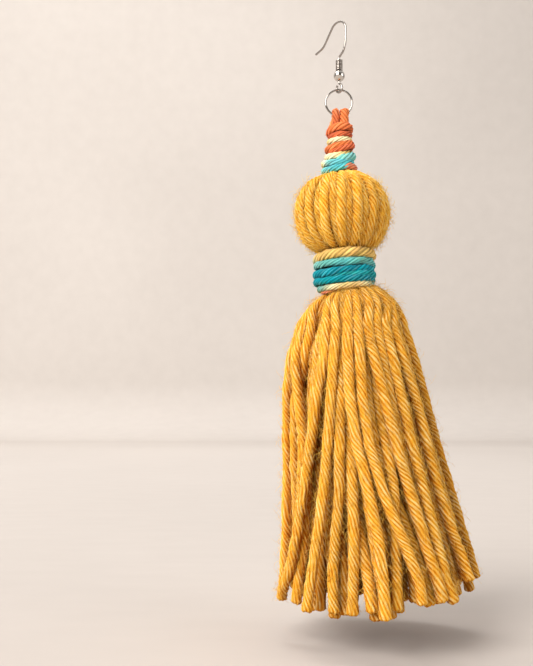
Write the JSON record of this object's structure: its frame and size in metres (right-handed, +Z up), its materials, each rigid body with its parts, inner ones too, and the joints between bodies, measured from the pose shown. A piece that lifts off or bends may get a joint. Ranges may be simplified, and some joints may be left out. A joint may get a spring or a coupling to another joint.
{
  "type": "tassel drop earring",
  "caption": "Long tassel drop earring: bent ear wire with coil and ball, jump ring, stem wound with coloured cord, round yarn head, wound neck and a full golden yarn skirt.",
  "frame": {"origin": "inside top of the ear wire's bend, where it hangs in the ear", "axes": "+Z up, the tassel hangs down along -Z; +Y goes back, so the front of the tassel faces -Y; +X is to the right as seen from the front"},
  "size_m": [0.0566, 0.0516, 0.1586],
  "materials": {
    "silver_wire": "polished wire with fine drawing marks",
    "silver_ball": "polished",
    "coral_cord": "twisted soft cord",
    "cream_cord": "twisted soft cord",
    "aqua_cord": "twisted soft cord",
    "golden_yarn": "thick twisted yarn with a fuzzy surface",
    "gold_cord": "twisted soft cord",
    "teal_cord": "twisted soft cord",
    "pale_cord": "twisted soft cord"
  },
  "bodies": {
    "hook": {"ear_hook": "silver_wire", "hook_coil": "silver_wire", "hook_ball": "silver_ball"},
    "ring": {"jump_ring": "silver_wire"},
    "tassel": {"cord_loop_left": "coral_cord", "cord_loop_right": "coral_cord", "stem_core": "coral_cord", "stem_turn_coral_1": "coral_cord", "stem_turn_coral_2": "coral_cord", "stem_turn_cream_1": "cream_cord", "stem_turn_coral_3": "coral_cord", "stem_turn_cream_2": "cream_cord", "stem_turn_aqua_1": "aqua_cord", "stem_turn_aqua_2": "aqua_cord", "tassel_head": "golden_yarn", "neck_turn_gold": "gold_cord", "neck_turn_mint": "aqua_cord", "neck_turn_teal_1": "teal_cord", "neck_turn_teal_2": "teal_cord", "neck_turn_pale": "pale_cord", "tassel_skirt": "golden_yarn"}
  },
  "joints": [
    {"name": "ring_swing", "type": "hinge", "parent": "hook", "child": "ring", "pos_m": [0.00025, -0.00027, -0.01902], "axis": [1, 0, 0], "range_deg": [-60, 60]},
    {"name": "tassel_sway", "type": "hinge", "parent": "ring", "child": "tassel", "pos_m": [0.00015, -0.00027, -0.02266], "axis": [0, 1, 0], "range_deg": [-50, 50]}
  ]
}
